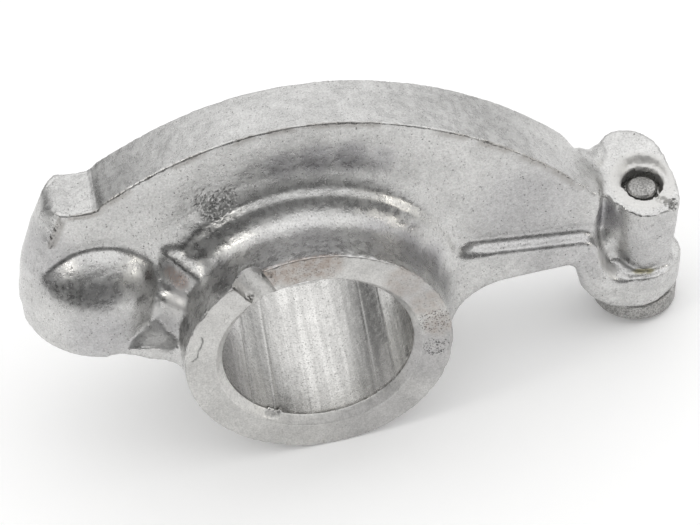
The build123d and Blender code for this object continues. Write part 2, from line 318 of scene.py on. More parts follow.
def fillPocket(points):
    x, y, z = points.T.copy()
    share = bandAt(x, pocket["x"], pocket["full"], pocket["reach"]) * (y < pocket["behind"])
    share = share * ramp(z, *pocket["foot"]) * ramp(z, *pocket["top"])
    filled = pocket["face"] - pocket["slope"] * ramp(z, *pocket["slopeZ"])
    points[:, 1] += share * (np.minimum(y, filled) - y)


def hollowNeck(points, edges):
    x, y, z = points.T.copy()
    valley = bandAt(x, neck["x"], neck["full"], neck["reach"])
    valley = valley * ramp(z, *neck["foot"]) * ramp(z, *neck["top"]) * ramp(y, *neck["back"])
    points[:, 1] += neck["depth"] * valley * ramp(-y, *neck["front"])
    return relax(points, edges, nearSpots(points, neck["soft"]), neck["rounds"])


def fromShaft(points):
    return np.hypot(points[:, 0], points[:, 2])


def underSkin(points):  # 1 where the machined piece covers the casting, fading to 0 before its edge
    fadeFrom, fadeTo = (castForm["skinFrom"] + fade for fade in castForm["skinFade"])
    return (fromShaft(points) < castForm["skinRadius"]) * ramp(np.abs(points[:, 1]), fadeFrom, fadeTo)


def dropCovered(mesh):  # takes away the faces that the machined piece hides
    points = toUpright(readPoints(mesh))
    hidden = (underSkin(points) >= 1) | (fromShaft(points) < castForm["skinInside"])
    trimmed = bmesh.new()
    trimmed.from_mesh(mesh)
    trimmed.verts.ensure_lookup_table()
    bmesh.ops.delete(trimmed, geom=[vert for vert in trimmed.verts if hidden[vert.index]], context="VERTS")
    trimmed.to_mesh(mesh)
    trimmed.free()


print("casting: even mesh")
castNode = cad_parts["arm_casting"]
castArm = denseCopy(castNode, "castArm", castForm["cell"])
trueMesh = weldedCopy(castNode)
surface = BVHTree.FromBMesh(trueMesh)
crisp = crispPoints(trueMesh, castForm["crispAngle"], castForm["crispStep"])
crispTree = treeOf(crisp)
trueMesh.free()
writePoints(castArm.data, seat(readPoints(castArm.data), surface))

print("casting: soft edges and hollows")
points = toUpright(readPoints(castArm.data))
edges = readEdges(castArm.data)
points = roundEdges(points, edges)
fillPocket(points)
for *spot, rounds in softSpots:
    points = relax(points, edges, nearSpots(points, [spot]), rounds)
writePoints(castArm.data, toRow(points))
dropCovered(castArm.data)

print("casting: finer faces where the form is small")
flashBoxes = [                # round the edges where the halves of the mould met
    ((-far, -3.0, castForm["spineFoot"]), (far, -2.0, far)),    # front of the spine
    ((32.3, -far, 7.0), (far, -1.0, 8.7)),                      # front of the head
    ((31.0, -far, -2.2), (far, -3.2, 0.3)),                     # ledge over the pad
    ((-far, -far, -far), (-14.0, -0.5, 0.6)),                   # foot of the pushrod boss
]
spineBack = ((-far, 1.5, 13.0), (far, far, far))
fineSpots = [
    (arm["stemX"], arm["stemY"], 8.4, 3.3),                     # ring round the hole
    (38.0, -2.0, 7.8, 1.6), (35.9, -3.1, -1.1, 1.2),            # corner of the head, foot of the column
    (-9.4, -2.5, 15.2, 3.2),                                    # pitted patch
    (-23.5, -0.8, 15.8, 2.6), (-23.5, 2.4, 15.8, 2.6),          # saddle
]
crispUpright = toUpright(np.array([tuple(place) for place in crisp])).astype(np.float32)
onFlash = np.any([insideBox(crispUpright, low, high) for low, high in flashBoxes], axis=0)
flashTree = treeOf(crispUpright[onFlash])
fineTree = treeOf(crispUpright[onFlash | insideBox(crispUpright, *spineBack)])
for band in castForm["halvings"]:
    points = toUpright(readPoints(castArm.data))
    refine(castArm.data, (distances(points, fineTree) < band) | (nearSpots(points, fineSpots) > 0))
points = readPoints(castArm.data)
upper = toUpright(points)
spineEdge = (distances(upper, fineTree) < castForm["seatBand"]) & (upper[:, 2] > castForm["spineFoot"])
points[spineEdge] = seat(points[spineEdge], surface)
points = toUpright(points)
edges = readEdges(castArm.data)
fineEdge = distances(toRow(points), crispTree) / mm
points = relax(points, edges, ramp(fineEdge, *castForm["fineBand"]), castForm["fineRounds"])
mouthLow, mouthHigh = castForm["mouthZ"]
mouthEdge = bandAt(fromStem(points), *castForm["mouthBand"])
mouthEdge = mouthEdge * (points[:, 2] > mouthLow) * (points[:, 2] < mouthHigh)
points = relax(points, edges, mouthEdge, castForm["mouthRounds"])

print("casting: surface")
patchSpots = [(-8.6, -2.5, 15.9, 1.9), (-9.6, -2.5, 14.6, 1.8), (-10.9, -2.5, 15.9, 1.2)]
patchSlant = np.array([[1.0, 0, 0.45], [0, 1, 0], [-0.45, 0, 1.0]]) * np.array([5.6, 4.6, 3.4])
saddle = {"x": -23.5, "full": 1.6, "reach": 2.2, "foot": (14.8, 15.4)}      # seat at the spine's end
combScale = np.array([2.6, 0.06, 0.6])      # long stripes from front to back
ringSpot = (arm["stemX"], arm["stemY"], 8.4, 3.5)
neckBack = (31.0, 4.6, 9.8, 2.3)
pits = [                                    # (x, y, z, radius, depth)
    (37.7, -1.7, 7.95, 0.55, 0.35),
    (38.2, -2.1, 7.85, 0.50, 0.35),
    (38.6, -2.5, 7.7, 0.55, 0.45),
    (38.7, -1.9, 7.9, 0.35, 0.25),
    (37.2, -1.4, 8.05, 0.40, 0.25),
    (35.6, -3.0, 2.6, 0.45, 0.12),
]
normals = toUpright(readPoints(castArm.data, "normal") * mm)
x, y, z = points.T
rise = waves(points)
fromFlash = distances(points, flashTree)
ragged = np.clip(0.45 + fieldNoise(points, *castNoise["flash"]), 0, 1.2)
rise += castForm["flashHeight"] * ramp(fromFlash, *castForm["flashBand"]) * ragged
strip = ramp(fromFlash, *castForm["stripBand"]) * (y < castForm["stripFront"]) * (z > castForm["spineFoot"])
strip = strip * ramp(fieldNoise(points, *castNoise["strip"]), -0.35, 0.1)
rise += castForm["stripHeight"] * strip * fieldNoise(points, *castNoise["stripGrain"])
patch = nearSpots(points, patchSpots)
rough = fieldNoise(points @ patchSlant, *castNoise["patch"])
rise += castForm["patchHeight"] * patch * rough
rise += castForm["ringHeight"] * nearSpots(points, [ringSpot]) * fieldNoise(points, *castNoise["ring"])
onSaddle = bandAt(x, saddle["x"], saddle["full"], saddle["reach"]) * ramp(z, *saddle["foot"])
rise += castForm["combHeight"] * onSaddle * fieldNoise(points * combScale, *castNoise["comb"])
rise += castForm["neckHeight"] * nearSpots(points, [neckBack])
uneven = 1 + 0.5 * fieldNoise(points, *castNoise["pit"])
for *place, size, depth in pits:
    rise -= depth * ramp(awayFrom(points, place) * uneven, size, size * 0.4)
points = hollowNeck(points + normals * rise[:, None], edges)
points = points - normals * (castForm["sink"] * underSkin(points))[:, None]
writePoints(castArm.data, toRow(points))

paintedShadeCore = 0.35               # of a spot's radius, where the painted shade is full
paintedShadeSpots = [                 # (x, y, z, radius, share): painted shade, darker and cooler skin
    (-2.5, -2.5, 19.5, 2.6, 0.26), (1.0, -2.5, 19.9, 2.8, 0.32), (4.5, -2.5, 19.8, 2.8, 0.32),
    (7.5, -2.6, 19.0, 2.4, 0.20), (7.0, -7.5, 12.2, 3.8, 0.26), (10.0, -7.0, 9.9, 3.8, 0.34),
    (12.5, -6.5, 6.8, 3.4, 0.38), (13.6, -6.5, 3.6, 2.6, 0.30), (0.0, -8.5, 13.9, 4.2, 0.16),
    (-5.0, -8.5, 13.0, 3.6, 0.20), (-9.5, -8.0, 10.5, 3.4, 0.16), (31.9, -1.0, 5.6, 2.6, 0.40),
    (-22.0, -6.0, 7.0, 3.0, 0.10), (-22.0, -5.4, 2.2, 5.0, 0.20), (-15.0, -5.8, 2.2, 2.2, 0.20),
    (-13.6, -4.9, 7.2, 1.5, 0.40), (-14.4, -3.9, 7.9, 1.2, 0.34), (-13.9, -5.0, 6.0, 1.4, 0.34),
    (23.0, -2.6, 10.0, 8.0, 0.16), (27.0, -3.6, 3.0, 7.0, 0.14), (36.5, -3.4, 2.5, 6.5, 0.10),
    (-27.0, -2.0, 10.0, 5.0, 0.14), (12.2, -10.5, -2.0, 6.5, 0.20), (7.0, -10.5, -11.0, 8.0, 0.12),
    (10.0, -10.5, 8.0, 4.5, 0.12),
]
ridgeHighlightSpots = [               # painted highlight on the ridge that runs down beside the column
    (30.9, -3.4, 3.2, 0.9), (31.2, -3.2, 2.0, 1.0), (31.7, -3.0, 0.7, 1.1), (32.3, -2.9, -0.3, 1.1),
]
footSpots = [(-16.2, -5.9, 0.4, 2.4), (-15.3, -5.4, 3.6, 1.8)]      # foot of the bridge, with a fainter painted highlight
treadSpot = (-14.0, -5.6, 5.1, 1.7)                                 # lower step of the bridge, with a painted highlight
wallSpots = [(-13.6, -4.9, 7.2, 1.4), (-14.4, -4.2, 7.6, 1.2)]      # wall above that step
creviceStretch = np.array([1.0, 1.0, 3.0])                          # flattens the next spots
creviceSpots = [(35.5, -2.9, -3.0, 1.0), (36.3, -2.9, -3.1, 1.0)]   # foot of the column, z times 3


# painted shade: the strongest share of any spot at each point
def paintedShadeAt(points):
    share = np.zeros(len(points))
    for *spot, strength in paintedShadeSpots:
        share = np.maximum(share, strength * nearSpots(points, [spot], paintedShadeCore))
    return share


highlightOut, highlightIn = (3.7, 3.2), (2.15, 2.3)                           # painted highlight, a bright ring round the hole
fromHole = fromStem(points)
mouthHighlight = ramp(fromHole, *highlightOut) * ramp(fromHole, *highlightIn) * (points[:, 2] > mouthLow)
# painted highlights on the ridge, the bridge's foot and its lower step
paintedHighlights = np.maximum(0.85 * nearSpots(points, ridgeHighlightSpots), 0.4 * nearSpots(points, footSpots))
paintedHighlights = np.maximum(paintedHighlights, nearSpots(points, [treadSpot]))
writeMasks(castArm.data, {
    "pitted": patch * ramp(rough, 0.35, -0.35),
    "wearAndHighlight": np.maximum(mouthHighlight, paintedHighlights),
    "paintedShade": paintedShadeAt(points),
    "brown": nearSpots(points, wallSpots),
    "strip": strip,
    "crevice": nearSpots(points * creviceStretch, creviceSpots),
})
castArm.data.calc_loop_triangles()
print("casting: triangles", len(castArm.data.loop_triangles))


def gridMesh(name, rows):  # closed rings of upright points, one ring after the other
    rows = np.array(rows)
    rings, around = rows.shape[0], rows.shape[1]
    mesh = bpy.data.meshes.new(name)
    faces = []
    for ring in range(rings - 1):
        low, high = ring * around, (ring + 1) * around
        for step in range(around):
            after = (step + 1) % around
            faces.append((low + step, low + after, high + after, high + step))
    mesh.from_pydata(toRow(rows.reshape(-1, 3)).tolist(), [], faces)
    welded = bmesh.new()
    welded.from_mesh(mesh)
    bmesh.ops.recalc_face_normals(welded, faces=welded.faces)
    welded.to_mesh(mesh)
    welded.free()
    mesh.polygons.foreach_set("use_smooth", [True] * len(mesh.polygons))
    made = bpy.data.objects.new(name, mesh)
    bpy.context.scene.collection.objects.link(made)
    return made


def swell(mesh, height):  # moves every point along its normal by a height in millimetres
    writePoints(mesh, readPoints(mesh) + readPoints(mesh, "normal") * (height * mm)[:, None])


print("barrel: machined ends and bore")
barrel = {
    "chamfer": 0.85,
    "round": 0.1,             # mm, worn edge
    "around": 560,            # points round the ring beside the groove
    "grooveAngle": 121.5,     # degrees
    "grooveFrom": 9.0, "grooveLength": 6.0,             # mm from the bore's axis
    "grooveIn": 1.3, "grooveOut": 2.0,                  # mm, radius of its cone at those ends
    "grooveLift": 0.3,        # mm, how far the cone's axis lies in front of the face
    "grooveSteps": 44,        # columns across the groove
    # depth and distance along the barrel of the rows where this piece comes out of the casting
    "emerging": [(0.12, -0.5), (0.03, -0.2), (0.022, 0.0), (0.014, 0.2), (0.007, 0.4)],
    "emerged": 0.6,           # mm past the start, where it is out
    "nearRows": (12, 24, 7),  # rows of the outside, the end face and the chamfer
    "boreRows": 42,
    "farRows": (8, 9, 4),
    "gap": 0.05,              # mm kept free of rows beside a sharp edge
    "waveHeight": 0.012, "fineHeight": 0.010, "streakHeight": 0.008,
    "poreDepth": 0.05, "crackDepth": 0.08, "nickDepth": 0.20,
    "wearDepth": 0.22, "fineWearDepth": 0.12,
    "scratchMiddle": -2.0, "scratchSlant": 0.16,        # mm along the bore, degrees per mm
    "darkSide": (-158, 8, 34), "darkShare": 0.26,       # painted shade on one side of the bore: middle, full and reach in degrees round the bore
    # painted light on another side of the bore, given the same way
    "lightSide": (-84, 6, 34),
}
barrelNoise = {               # scale, seed, octaves
    "longWave": (0.5, 11, 2), "shortWave": (2.2, 12, 2), "streak": (1.1, 13, 3), "grains": (3.6, 14, 2),
    "wear": (0.7, 15, 3), "nick": (3.2, 16, 2), "fineWear": (2.6, 17, 2),
}
scratches = [                 # angle in the bore and width in degrees, height in mm
    (-132.1, 0.45, -0.06), (-115.2, 0.6, 0.045), (-50.0, 0.5, 0.035),
    (-92.5, 0.5, -0.03), (-34.6, 0.4, -0.04),
]
porousSpots = [(12.1, -10.5, 2.9, 2.4), (12.2, -10.5, -0.9, 1.9)]
brownSpots = [(-2.3, -10.5, 12.5, 2.8), (-5.0, -10.5, 12.0, 1.8), (0.5, -10.5, 12.9, 2.6)]
paleBrownSpots = [(8.8, -10.5, 9.2, 2.8), (11.2, -10.5, 5.6, 2.4), (12.5, -10.5, 2.4, 2.2)]
crack = [(-12.1, 4.3), (-12.0, 3.6), (-12.3, 2.9), (-12.6, 1.9), (-12.6, 1.5), (-13.2, 0.9)]    # x, z
nickSpots = [
    (-5.4, -9.9, -8.7, 0.5), (-4.9, -9.9, -9.0, 0.55), (-4.3, -9.8, -9.2, 0.45),
    (9.6, -8.6, -3.4, 0.7), (-5.7, -9.5, 11.4, 0.55), (-5.0, -10.3, 12.3, 0.5),
    (-7.0, -9.9, 8.9, 0.5), (-7.3, -10.3, 9.3, 0.45), (-8.4, -10.2, 10.9, 0.5),
]
half, outer, bore = arm["barrelHalf"], arm["barrelRadius"], arm["boreRadius"]
wearAndHighlight, start = barrel["round"], castForm["skinFrom"]
mouth, inner = bore + barrel["chamfer"], half - barrel["chamfer"]


def grooveWidth(t):  # radius of the groove's cone at a distance from the bore's axis
    share = (t - barrel["grooveFrom"]) / barrel["grooveLength"]
    return barrel["grooveIn"] + (barrel["grooveOut"] - barrel["grooveIn"]) * share


def ringColumns(radius):  # angle of every column at this radius, and how deep the groove is there
    aim = math.radians(barrel["grooveAngle"])
    spread = 0.15  # half of the groove's width in radians, a first guess made better by the loop
    for _ in range(4):
        width = grooveWidth(radius * math.cos(spread))
        spread = math.asin(math.sqrt(width ** 2 - barrel["grooveLift"] ** 2) / radius)
    turn = math.acos(barrel["grooveLift"] / width)
    turns = np.linspace(-turn, turn, barrel["grooveSteps"] + 1)
    inside = np.arcsin(width * np.sin(turns) / radius)
    rest = np.linspace(spread, 2 * math.pi - spread, barrel["around"] + 1)[1:-1]
    angles = np.concatenate([inside, rest]) + aim
    depth = np.concatenate([width * np.cos(turns) - barrel["grooveLift"], np.zeros(len(rest))])
    return angles, np.maximum(depth, 0)


def barrelRow(radius, station, sunk):  # sunk: the groove may lower this row
    angles, depth = ringColumns(max(radius, bore))
    level = np.full(len(angles), station)
    if sunk:
        level = np.maximum(level, depth - half)
    return np.stack([radius * np.cos(angles), level, radius * np.sin(angles)], 1)


def barrelRows(count, startRow, endRow, sunk):  # even rows between two (radius, station) places
    return [barrelRow(radius, station, sunk) for radius, station in np.linspace(startRow, endRow, count)]


gap, emerged = barrel["gap"], start + barrel["emerged"]
sideRows, faceRows, chamferRows = barrel["nearRows"]
farSideRows, farFaceRows, farChamferRows = barrel["farRows"]
rows = [barrelRow(outer - depth, -start - along, False) for depth, along in barrel["emerging"]]
rows += barrelRows(sideRows, (outer, -emerged), (outer, -half + wearAndHighlight), True)
rows += [barrelRow(outer - wearAndHighlight * 0.3, -half + wearAndHighlight * 0.3, True)]       # the worn edge
rows += barrelRows(faceRows, (outer - wearAndHighlight, -half), (mouth + gap, -half), True)
rows += barrelRows(chamferRows, (mouth - 0.04, -half + 0.04), (bore + 0.03, -inner - 0.03), True)
rows += barrelRows(barrel["boreRows"], (bore, -inner + 0.03), (bore, inner), True)
rows += barrelRows(farChamferRows, (bore + 0.1, inner + 0.1), (mouth - gap, half - gap), False)
rows += barrelRows(farFaceRows, (mouth + gap, half), (outer - wearAndHighlight, half), False)
rows += barrelRows(farSideRows, (outer, half - wearAndHighlight), (outer, emerged), False)
rows += [barrelRow(outer - depth, start + along, False) for depth, along in barrel["emerging"][::-1]]
barrelSkin = gridMesh("machinedBarrel", rows)

points = toUpright(readPoints(barrelSkin.data))
x, y, z = points.T
radius = fromShaft(points)
angle = np.degrees(np.arctan2(z, x))
inBore = (radius < bore + 0.02).astype(float)
inChamfer = (radius > bore + 0.02) * (radius < mouth + 0.02) * (np.abs(y) > inner - 0.05)
onFront = ramp(y, -half + 0.6, -half + 0.1) * (radius > bore + 0.1)
onSide = (radius > outer - 0.3) * ramp(np.abs(y), half - 0.05, half - 0.5)
longWave, shortWave = (fieldNoise(points, *barrelNoise[name]) for name in ("longWave", "shortWave"))
rise = (1 - onSide) * (barrel["waveHeight"] * longWave + barrel["fineHeight"] * shortWave)
rise += onSide * waves(points)
lines = np.stack([np.zeros(len(y)), np.radians(angle) * bore, y * 0.03], 1)     # drawn out along the bore
rise += barrel["streakHeight"] * inBore * fieldNoise(lines, *barrelNoise["streak"])
for place, width, height in scratches:
    slanting = place + (y - barrel["scratchMiddle"]) * barrel["scratchSlant"]
    rise += inBore * height * bandAt(angle, slanting, width * 0.3, width * 2.2)
porous = nearSpots(points, porousSpots)
brown = np.maximum(nearSpots(points, brownSpots), 0.6 * nearSpots(points, paleBrownSpots))
pores = ramp(fieldNoise(points, *barrelNoise["grains"]), -0.1, 0.35)
rise -= barrel["poreDepth"] * onFront * (porous + 0.3 * brown) * pores
crackTree = treeOf([Vector((a[0] + (b[0] - a[0]) * t, -half, a[1] + (b[1] - a[1]) * t))
                    for a, b in zip(crack, crack[1:]) for t in np.linspace(0, 1, 8)])
cracked = onFront * ramp(distances(points, crackTree), 0.13, 0.04)
rise -= barrel["crackDepth"] * cracked
edgeWear = bandAt(radius, outer, 0.0, 0.25) * ramp(y, -half + 0.4, -half)
rise -= barrel["wearDepth"] * edgeWear * np.clip(fieldNoise(points, *barrelNoise["wear"]) - 0.05, 0, 1)
rise -= barrel["fineWearDepth"] * edgeWear * np.clip(fieldNoise(points, *barrelNoise["fineWear"]), 0, 1)
nick = nearSpots(points, nickSpots)
rise -= barrel["nickDepth"] * nick * ramp(fieldNoise(points, *barrelNoise["nick"]), -0.4, 0.3)
swell(barrelSkin.data, rise)
# painted shade and painted light on the bore, by the angle round it
paintedBoreShade = barrel["darkShare"] * inBore * bandAt(angle, *barrel["darkSide"])
writeMasks(barrelSkin.data, {
    "bore": inBore,
    "pitted": 0.8 * nick,
    "porous": onFront * np.maximum(porous, 0.6 * brown),
    "brown": onFront * brown,
    "chamfer": inChamfer,
    "paintedShade": np.maximum(paintedShadeAt(points) * (1 - inBore), paintedBoreShade),
    "paintedBoreLight": inBore * bandAt(angle, *barrel["lightSide"]),
    "cracked": cracked,
})
asCast = (radius > outer - 0.27) & (np.abs(y) < half - wearAndHighlight * 0.9)      # dressed like the casting


def lathe(name, profile, around, tilt, foot):  # turned about an upright axis, tilted about Y at its foot
    angles = np.linspace(0, 2 * math.pi, around, endpoint=False)
    turnCos, turnSin = math.cos(math.radians(tilt)), math.sin(math.radians(tilt))
    rows = []
    for radius, height in profile:
        px, py = radius * np.cos(angles), radius * np.sin(angles)
        rows.append(np.stack([foot[0] + px * turnCos + height * turnSin, foot[1] + py,
                              foot[2] - px * turnSin + height * turnCos], 1))
    return gridMesh(name, rows)


def pathPoints(corners, step):  # a profile with points at least every step along it
    path = []
    for (r0, h0), (r1, h1) in zip(corners, corners[1:]):
        pieces = max(1, int(math.hypot(r1 - r0, h1 - h0) / step))
        path += [(r0 + (r1 - r0) * k / pieces, h0 + (h1 - h0) * k / pieces) for k in range(pieces)]
    return path + [corners[-1]]


print("valve pad")
tiny = 0.01  # mm, radius of the innermost ring of a turned piece
pad = {
    "top": 2.2, "bevel": 0.12,
    "edgeIn": 0.03, "edgeUp": 0.04,                         # the lower edge is worn by this much
    "stem": 1.65, "stemPlain": 13.2, "stemFine": 13.4,      # finer rings where the hole shows the stem
    "stemRim": 15.55, "rimRound": 0.05, "rimBevel": 0.25, "crown": 0.12,
    "step": 0.3, "fineStep": 0.09, "around": 200,
    "rimBand": (4.3, 4.45), "rimTop": (-5.6, -5.9),         # mm from the stem's axis, mm up
    "endBand": (7.2, 7.6),
    "rimRough": 0.03, "endRough": 0.02, "noise": (3.0, 21, 3),
}
disc, edge, stem = arm["padRadius"], arm["padEdge"], pad["stem"]
stemEnd = pad["stemRim"] + pad["rimBevel"]
cap = stem - pad["rimBevel"]
padProfile = pathPoints([
    (tiny, 0), (disc - edge, 0), (disc - pad["edgeIn"], edge - pad["edgeIn"]), (disc, edge + pad["edgeUp"]),
    (disc, pad["top"] - pad["bevel"]), (disc - pad["bevel"], pad["top"]),
    (stem, pad["top"]), (stem, pad["stemPlain"])], pad["step"])
padProfile += pathPoints([
    (stem, pad["stemFine"]), (stem, pad["stemRim"] - pad["rimRound"]),
    (stem - pad["rimRound"], pad["stemRim"]), (cap, stemEnd)], pad["fineStep"])
padProfile += [(radius, stemEnd + pad["crown"] * (1 - (radius / cap) ** 2))
               for radius in np.linspace(cap - 0.1, tiny, 14)]
padFoot = (arm["stemX"], arm["stemY"], arm["padFoot"])
valvePad = lathe("valvePad", padProfile, pad["around"], 0, padFoot)
points = toUpright(readPoints(valvePad.data))
rimShare = ramp(fromStem(points), *pad["rimBand"]) * ramp(points[:, 2], *pad["rimTop"])
unevenness = pad["rimRough"] * rimShare + pad["endRough"] * ramp(points[:, 2], *pad["endBand"])
swell(valvePad.data, unevenness * fieldNoise(points, *pad["noise"]))

print("pushrod cup")
cup = {
    "x": -22.3, "y": 0.8, "z": -1.1, "tilt": 8.0, "proud": 0.3,     # foot of the boss, its lean, lip below it
    "radius": 5.0, "socket": 4.0, "height": 7.4, "depth": 5.8, "lip": 0.15, "round": 0.05,
    "step": 0.3, "around": 180,
}
bowl = cup["depth"] - cup["socket"]
cupProfile = [(cup["socket"] * math.sin(t), bowl + cup["socket"] * math.cos(t))
              for t in np.linspace(0.003, math.pi / 2, 26)]
cupProfile += pathPoints([
    (cup["socket"], bowl - 0.1), (cup["socket"], cup["lip"]), (cup["socket"] + cup["lip"], 0),
    (cup["radius"] - cup["lip"], 0), (cup["radius"], cup["lip"]),
    (cup["radius"], cup["height"] - cup["round"]), (cup["radius"] - cup["round"], cup["height"]),
    (tiny, cup["height"])], cup["step"])
tilt = math.radians(cup["tilt"])
lip = (cup["x"] - cup["proud"] * math.sin(tilt), cup["y"], cup["z"] - cup["proud"] * math.cos(tilt))
pushrodCup = lathe("pushrodCup", cupProfile, cup["around"], cup["tilt"], lip)


def setInput(tree, socket, value):  # a value, or a link from another node
    if isinstance(value, bpy.types.NodeSocket):
        tree.links.new(value, socket)
    else:
        socket.default_value = value


def addNode(tree, kind, inputs=None, **settings):
    made = tree.nodes.new("ShaderNode" + kind)
    for key, value in settings.items():
        setattr(made, key, value)
    for key, value in (inputs or {}).items():
        setInput(tree, made.inputs[key], value)
    return made


def newMaterial(name):
    material = bpy.data.materials.new(name)
    material.use_nodes = True
    return material, material.node_tree, material.node_tree.nodes["Principled BSDF"]


def maths(tree, operation, *values):
    return addNode(tree, "Math", dict(enumerate(values)), operation=operation).outputs[0]


def product(tree, first, *others):
    for other in others:
        first = maths(tree, "MULTIPLY", first, other)
    return first


def between(tree, value, low, high, toLow=0.0, toHigh=1.0):  # smooth step from toLow to toHigh
    made = addNode(tree, "MapRange", {"Value": value, "From Min": low, "From Max": high,
                                      "To Min": toLow, "To Max": toHigh}, interpolation_type="SMOOTHSTEP")
    return made.outputs[0]


def scaled(tree, vector, scale):
    return addNode(tree, "VectorMath", {0: vector, "Scale": scale}, operation="SCALE").outputs[0]


def millimetres(tree):  # the object's own place, in millimetres
    return scaled(tree, addNode(tree, "TexCoord").outputs["Object"], 1 / mm)


def grain(tree, place, scale, detail=2.0, rough=0.55):
    return addNode(tree, "TexNoise", {"Vector": place, "Scale": scale, "Detail": detail,
                                      "Roughness": rough}).outputs["Fac"]


def maskOf(tree, name):
    return addNode(tree, "Attribute", attribute_name=name).outputs["Fac"]


def specks(tree, place, scale, size, share):  # scattered small dark pits
    cells = addNode(tree, "TexVoronoi", {"Vector": place, "Scale": scale})
    chance = addNode(tree, "SeparateColor", {0: cells.outputs["Color"]}).outputs[0]
    return product(tree, between(tree, cells.outputs["Distance"], size, size * 0.5),
                   between(tree, chance, 1 - share, 1 - share + 0.03))


def bump(tree, field, height, **below):  # a height below 0 makes hollows of the field
    inputs = {"Height": field, "Distance": abs(height) * mm, "Strength": 1.0, **below}
    return addNode(tree, "Bump", inputs, invert=height < 0).outputs[0]


def mixValues(tree, share, first, second):
    return addNode(tree, "Mix", {0: share, 2: first, 3: second}).outputs[0]


def mixColours(tree, share, first, second):
    return addNode(tree, "Mix", {0: share, 6: first, 7: second}, data_type="RGBA").outputs[2]


castSkin = {
    "tone": 0.61, "tint": (1.0, 0.995, 0.98),
    "roughness": 0.29, "roughSpread": 0.08,
    "grainScale": 5.0, "grainHeight": 0.025,        # scales are per mm, heights in mm
    "rippleScale": 1.2, "rippleHeight": 0.035,
    "speckScale": 1.6, "speckSize": 0.15, "speckShare": 0.4, "speckTone": 0.45,
    "stains": [     # mask, field that breaks it up, its low and high, least and most share, colour
        ("brown", "fine", 0.35, 0.65, 0.1, 0.75, (0.36, 0.27, 0.22, 1)),
        ("crevice", "ripple", 0.3, 0.6, 0.25, 0.75, (0.28, 0.25, 0.12, 1)),
        ("strip", "fine", 0.35, 0.6, 0.25, 0.6, (0.27, 0.25, 0.23, 1)),
    ],
    # painted highlight: under this mask the cast skin is paler, rougher and less metallic
    "dullMask": "wearAndHighlight", "dullShare": 0.6, "dullRough": 0.12, "highlightColour": (0.80, 0.79, 0.77, 1),
}
machinedSkin = {
    "tone": 0.60, "tint": (1.0, 0.99, 0.965),
    "roughness": 0.34, "roughSpread": 0.06,
    "grainScale": 5.5, "grainHeight": 0.012,
    "rippleScale": 1.4, "rippleHeight": 0.020,
    "speckScale": 2.0, "speckSize": 0.14, "speckShare": 0.5, "speckTone": 0.5,
    "stains": [("brown", "ripple", 0.35, 0.65, 0.25, 0.75, (0.36, 0.30, 0.26, 1))],
    "dullMask": "chamfer", "dullShare": 0.6,
}
anyMetal = {
    "ripple": (0.92, 1.06), "cloud": (0.93, 1.05), "fine": (0.86, 1.12),    # darkest and lightest tone
    "cloudScale": 0.3,
    "dotScale": 2.1, "dotSize": 1.5, "dotShare": 0.5,       # small dots, against the specks
    "markTurn": (0, 0.7, 0), "markScale": (5.0, 4.0, 1.1), "markShare": 0.45,   # short marks of handling
    "pittedShare": 0.7,
    # painted shade also turns the colour cooler
    "paintedShadeCool": 2.2, "paintedShadeTint": (0.98, 0.97, 1.015, 1),
    "speckHeight": 0.03,
}
machinedMarks = {
    "pinholes": [(4.2, 0.5, 0.6), (6.5, 0.46, 0.5)],        # scale, size, share
    "pinholeTone": 0.25, "chamferLight": 0.35, "crackTone": 0.35, "brightLight": 0.2,
    "lineScale": 1.3, "lineStretch": 0.035, "lineTone": (0.86, 1.10), "lineSmooth": 0.10,
}


def darkSpecks(tree, place, look):  # pits, dots and short marks of handling
    speck = specks(tree, place, look["speckScale"], look["speckSize"], look["speckShare"])
    dots = specks(tree, place, look["speckScale"] * anyMetal["dotScale"],
                  look["speckSize"] * anyMetal["dotSize"], look["speckShare"] * anyMetal["dotShare"])
    slant = addNode(tree, "Mapping", {"Vector": place, "Rotation": anyMetal["markTurn"],
                                      "Scale": anyMetal["markScale"]}).outputs[0]
    marks = between(tree, grain(tree, slant, 1.0), 0.63, 0.70, 0.0, anyMetal["markShare"])
    return maths(tree, "MAXIMUM", maths(tree, "MAXIMUM", speck, dots), marks)


def machinedTone(tree, place):  # pinholes, the paler chamfer and the crack
    holes = maths(tree, "MAXIMUM", *[specks(tree, place, *kind) for kind in machinedMarks["pinholes"]])
    holes = product(tree, holes, maskOf(tree, "porous"))
    return product(tree, between(tree, holes, 0.1, 0.8, 1.0, machinedMarks["pinholeTone"]),
                   maths(tree, "MULTIPLY_ADD", maskOf(tree, "chamfer"), machinedMarks["chamferLight"], 1.0),
                   between(tree, maskOf(tree, "cracked"), 0, 1, 1.0, machinedMarks["crackTone"]))


def boreLines(tree, place, inside):  # fine lines along the bore: their height, and their tone with the painted light on one side
    axes = addNode(tree, "SeparateXYZ", {0: place})
    turn = maths(tree, "ARCTAN2", axes.outputs[2], axes.outputs[0])
    lines = addNode(tree, "CombineXYZ", {
        0: product(tree, turn, arm["boreRadius"]),
        1: product(tree, axes.outputs[1], machinedMarks["lineStretch"])}).outputs[0]
    streak = grain(tree, lines, machinedMarks["lineScale"], 4.0, 0.62)
    tone = mixValues(tree, inside, 1.0, between(tree, streak, 0.35, 0.65, *machinedMarks["lineTone"]))
    # painted light on one side of the bore
    light = maths(tree, "MULTIPLY_ADD", maskOf(tree, "paintedBoreLight"), machinedMarks["brightLight"], 1.0)
    return streak, product(tree, tone, light)


